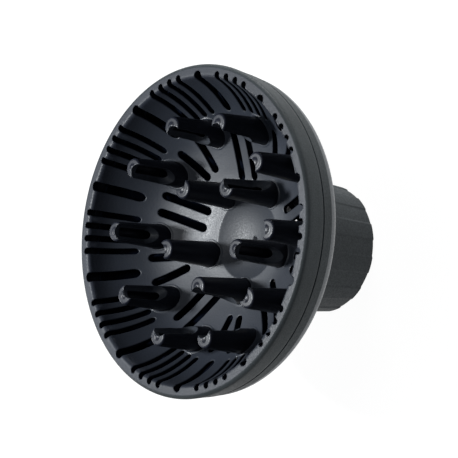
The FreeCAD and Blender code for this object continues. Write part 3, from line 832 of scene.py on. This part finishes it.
def pad_piece():
    """A curved pad with rounded edges and grip ribs across its inner face."""
    b = Builder()
    across = np.linspace(-1, 1, 33)
    upward = np.linspace(-1, 1, 127)
    half_z = (PAD_HIGH - PAD_LOW) / 2
    half_w = PAD_IN * PAD_HALF
    u, v = np.meshgrid(across, upward, indexing="ij")
    # points crowd towards the edges, where the rounding is
    u, v = np.sin(u * math.pi / 2), np.sin(v * math.pi / 2)
    edge = np.minimum((1 - abs(u)) * half_w, (1 - abs(v)) * half_z)
    lean = np.clip(1 - edge / PAD_ROUND, 0, 1)
    back = PAD_ROUND * (1 - np.sqrt(1 - lean ** 2))
    wave = 0.5 + 0.5 * np.cos(v * math.pi * PAD_RIBS)
    inside = smoothstep((edge - PAD_PLAIN) / 0.5)
    depth = back + PAD_RIB_DEPTH * smoothstep(wave * 1.6 - 0.3) * inside
    angle = u * PAD_HALF
    z = (PAD_LOW + PAD_HIGH) / 2 + v * half_z
    rows, columns = u.shape

    def sheet(radius):
        return np.stack([radius * np.cos(angle), radius * np.sin(angle), z], axis=-1)

    grip = sheet(PAD_IN + depth)
    front = b.points(grip.reshape(-1, 3))
    rear = b.points(sheet(PAD_OUT).reshape(-1, 3))
    normals = np.cross(np.gradient(grip, axis=1), np.gradient(grip, axis=0))
    normals /= np.linalg.norm(normals, axis=2)[:, :, None]
    out = np.stack([np.cos(angle), np.sin(angle), np.zeros_like(z)], axis=-1)

    def index(i, j):
        return i * columns + j

    for i in range(rows - 1):
        for j in range(columns - 1):
            ring = [(i, j), (i, j + 1), (i + 1, j + 1), (i + 1, j)]
            b.face([front + index(*k) for k in ring], [normals[k] for k in ring])
            b.face([rear + index(*k) for k in ring[::-1]], [out[k] for k in ring[::-1]])
    rim = [(0, j) for j in range(columns)] + [(i, columns - 1) for i in range(1, rows)]
    rim += [(rows - 1, j) for j in range(columns - 2, -1, -1)]
    rim += [(i, 0) for i in range(rows - 2, 0, -1)]
    for k, here in enumerate(rim):
        there = rim[(k + 1) % len(rim)]
        a, c = normals[here], normals[there]
        here, there = index(*here), index(*there)
        b.face([front + there, front + here, rear + here, rear + there], [c, a, a, c])
    return b.object("jaw_pad_rubber_01")


def make_pads():
    """Six pads with one mesh, each on its own jaw."""
    first = pad_piece()
    first.data.materials.append(rubber_mat)
    for i in range(6):
        pad = first if i == 0 else new_object("jaw_pad_rubber_%02d" % (i + 1), first.data)
        pad.rotation_euler = (0, 0, math.radians(60 * i))
        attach(pad, "jaw_%02d" % (i + 1))
        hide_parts("jaw_pad_%02d" % (i + 1))


# --- lights, floor and world ---

# Each light as (name, direction, distance, size, power, colour).
LIGHTS = (
    ("key", (-0.413, -0.007, 0.91), 0.80, (0.11, 0.11), 7.4, (0.95, 0.98, 1.0)),
    ("overhead", (0.08, 0.10, 1.0), 1.0, (0.5, 0.5), 1.5, (0.93, 0.97, 1.0)),
    ("sheen", (-0.73, 0.05, 0.68), 1.2, (0.8, 0.8), 1.8, (0.90, 0.96, 1.0)),
    ("top_side", (-0.02, 1.0, 0.05), 0.5, (0.3, 0.05), 3.0, (1.0, 1.0, 1.0)),
    ("far_side", (-0.90, -0.2, 0.02), 1.1, (0.5, 0.5), 5.0, (1.0, 1.0, 1.0)),
)
FLOOR_HALF_SIZE = 40.0          # metres, so far that its edge is never in view
WORLD_TONE = (0.030, 0.033, 0.042)


def make_floor():
    """A plain pale floor that gives off most of its own light, so that it stays even."""
    mesh = bpy.data.meshes.new("floor")
    e = FLOOR_HALF_SIZE
    mesh.from_pydata([(-e, -e, 0), (e, -e, 0), (e, e, 0), (-e, e, 0)], [], [(0, 1, 2, 3)])
    paper = Shader("floor_paper")
    tone = paper.mix(paper.noise(6.0), rgba((0.10, 0.10, 0.10)), rgba((0.12, 0.12, 0.12)))
    paper.put(paper.bsdf.inputs["Base Color"], tone)
    paper.put(paper.bsdf.inputs["Roughness"], 0.9)
    paper.put(paper.bsdf.inputs["Specular IOR Level"], 0.0)
    paper.put(paper.bsdf.inputs["Emission Color"], rgba((1.0, 1.0, 1.0)))
    paper.put(paper.bsdf.inputs["Emission Strength"], 0.97)
    mesh.materials.append(paper.mat)
    floor = new_object("floor", mesh)


def make_world():
    world = bpy.data.worlds.new("studio")
    world.use_nodes = True
    world.node_tree.nodes["Background"].inputs["Color"].default_value = rgba(WORLD_TONE)
    bpy.context.scene.world = world
    bpy.context.scene.view_settings.view_transform = "Standard"


make_camera()
for light in LIGHTS:
    area_light(*light)
make_floor()
make_world()

# --- materials ---

SIDE_TONE = (0.037, 0.043, 0.046)
charcoal = plastic(
    "charcoal_satin", (0.024, 0.029, 0.040), 0.46,
    grain=1100.0, depth=0.00006, patch=0.2, spec=0.65,
    zones=(
        (rim_face, (0.020, 0.024, 0.034), 0.48, 0.36),
        (outer_side, SIDE_TONE, 0.55, 0.08),
        (dish, (0.026, 0.031, 0.041), 0.55, 0.66),
        # the gate stub's near-black colour is painted shade
        (gate, (0.004, 0.005, 0.008), 0.6, 0.1),
    ),
)
# near-black blue colour on the slot walls and the bowl's rear face is painted shade; rough, without
# specular
slot_shade_mat = plastic("charcoal_painted_shade", (0.004, 0.006, 0.014), 0.9, spec=0.0)
casing_mat = plastic(
    "charcoal_casing", SIDE_TONE, 0.55, spec=0.08,
    zones=(
        # lighter colour on the shoulder is a painted highlight; its lower roughness and higher specular
        # are a glossier finish
        (shoulder, (0.062, 0.072, 0.080), 0.42, 0.65),
        # darker colour below the shoulder is painted shade
        (cone_painted_shade, (0.026, 0.032, 0.034), 0.55, 0.08),
        # near-black colour inside the rear cover is painted shade
        (casing_inside_painted_shade, (0.005, 0.007, 0.014), 0.9, 0.0),
    ),
)
# the finger body's near-black colour is painted shade; satin roughness and specular are its finish
finger_shade_mat = plastic("finger_satin_painted_shade", (0.010, 0.012, 0.020), 0.38, depth=0.00001, spec=0.36)
# lighter colour in the scooped channels is painted light; rough satin finish
channel_lit_mat = plastic("finger_channel_painted_light", (0.045, 0.051, 0.062), 0.45, spec=0.4)
collar_mat = plastic("collar_matt", (0.026, 0.031, 0.034), 0.60, spec=0.14, bevel=0.0006)
nylon_mat = plastic("black_nylon", (0.028, 0.029, 0.030), 0.46, grain=1300.0, depth=0.00001, spec=0.4)
rubber_mat = plastic(
    "pad_rubber", (0.040, 0.040, 0.042), 0.78,
    grain=2200.0, wear=0.5, spec=0.25,
)
washer_mat = plastic(
    "natural_nylon", (0.62, 0.60, 0.54), 0.38,
    grain=500.0, depth=0.000006, patch=0.05, wear=0.0,
)
washer_inputs = washer_mat.node_tree.nodes["Principled BSDF"].inputs
washer_inputs["Subsurface Weight"].default_value = 0.2
washer_inputs["Subsurface Radius"].default_value = (0.0008, 0.0007, 0.0005)
screw_mat = metal("zinc_plated_steel", (0.58, 0.58, 0.56), 0.30)
spring_mat = metal("oiled_spring_steel", (0.30, 0.30, 0.32), 0.36)

make_bowl()
make_fingers()
make_pads()

LOOKS = {
    "rear_cover": casing_mat,
    "collar_ring": collar_mat,
    "assembly_screws": screw_mat,
    "retaining_clip": spring_mat,
    "friction_washer": washer_mat,
    "cam_plate": nylon_mat,
    "jaw_carrier": nylon_mat,
}
for name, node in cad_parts.items():
    node.data.materials.clear()
    node.data.materials.append(LOOKS.get(name, nylon_mat))
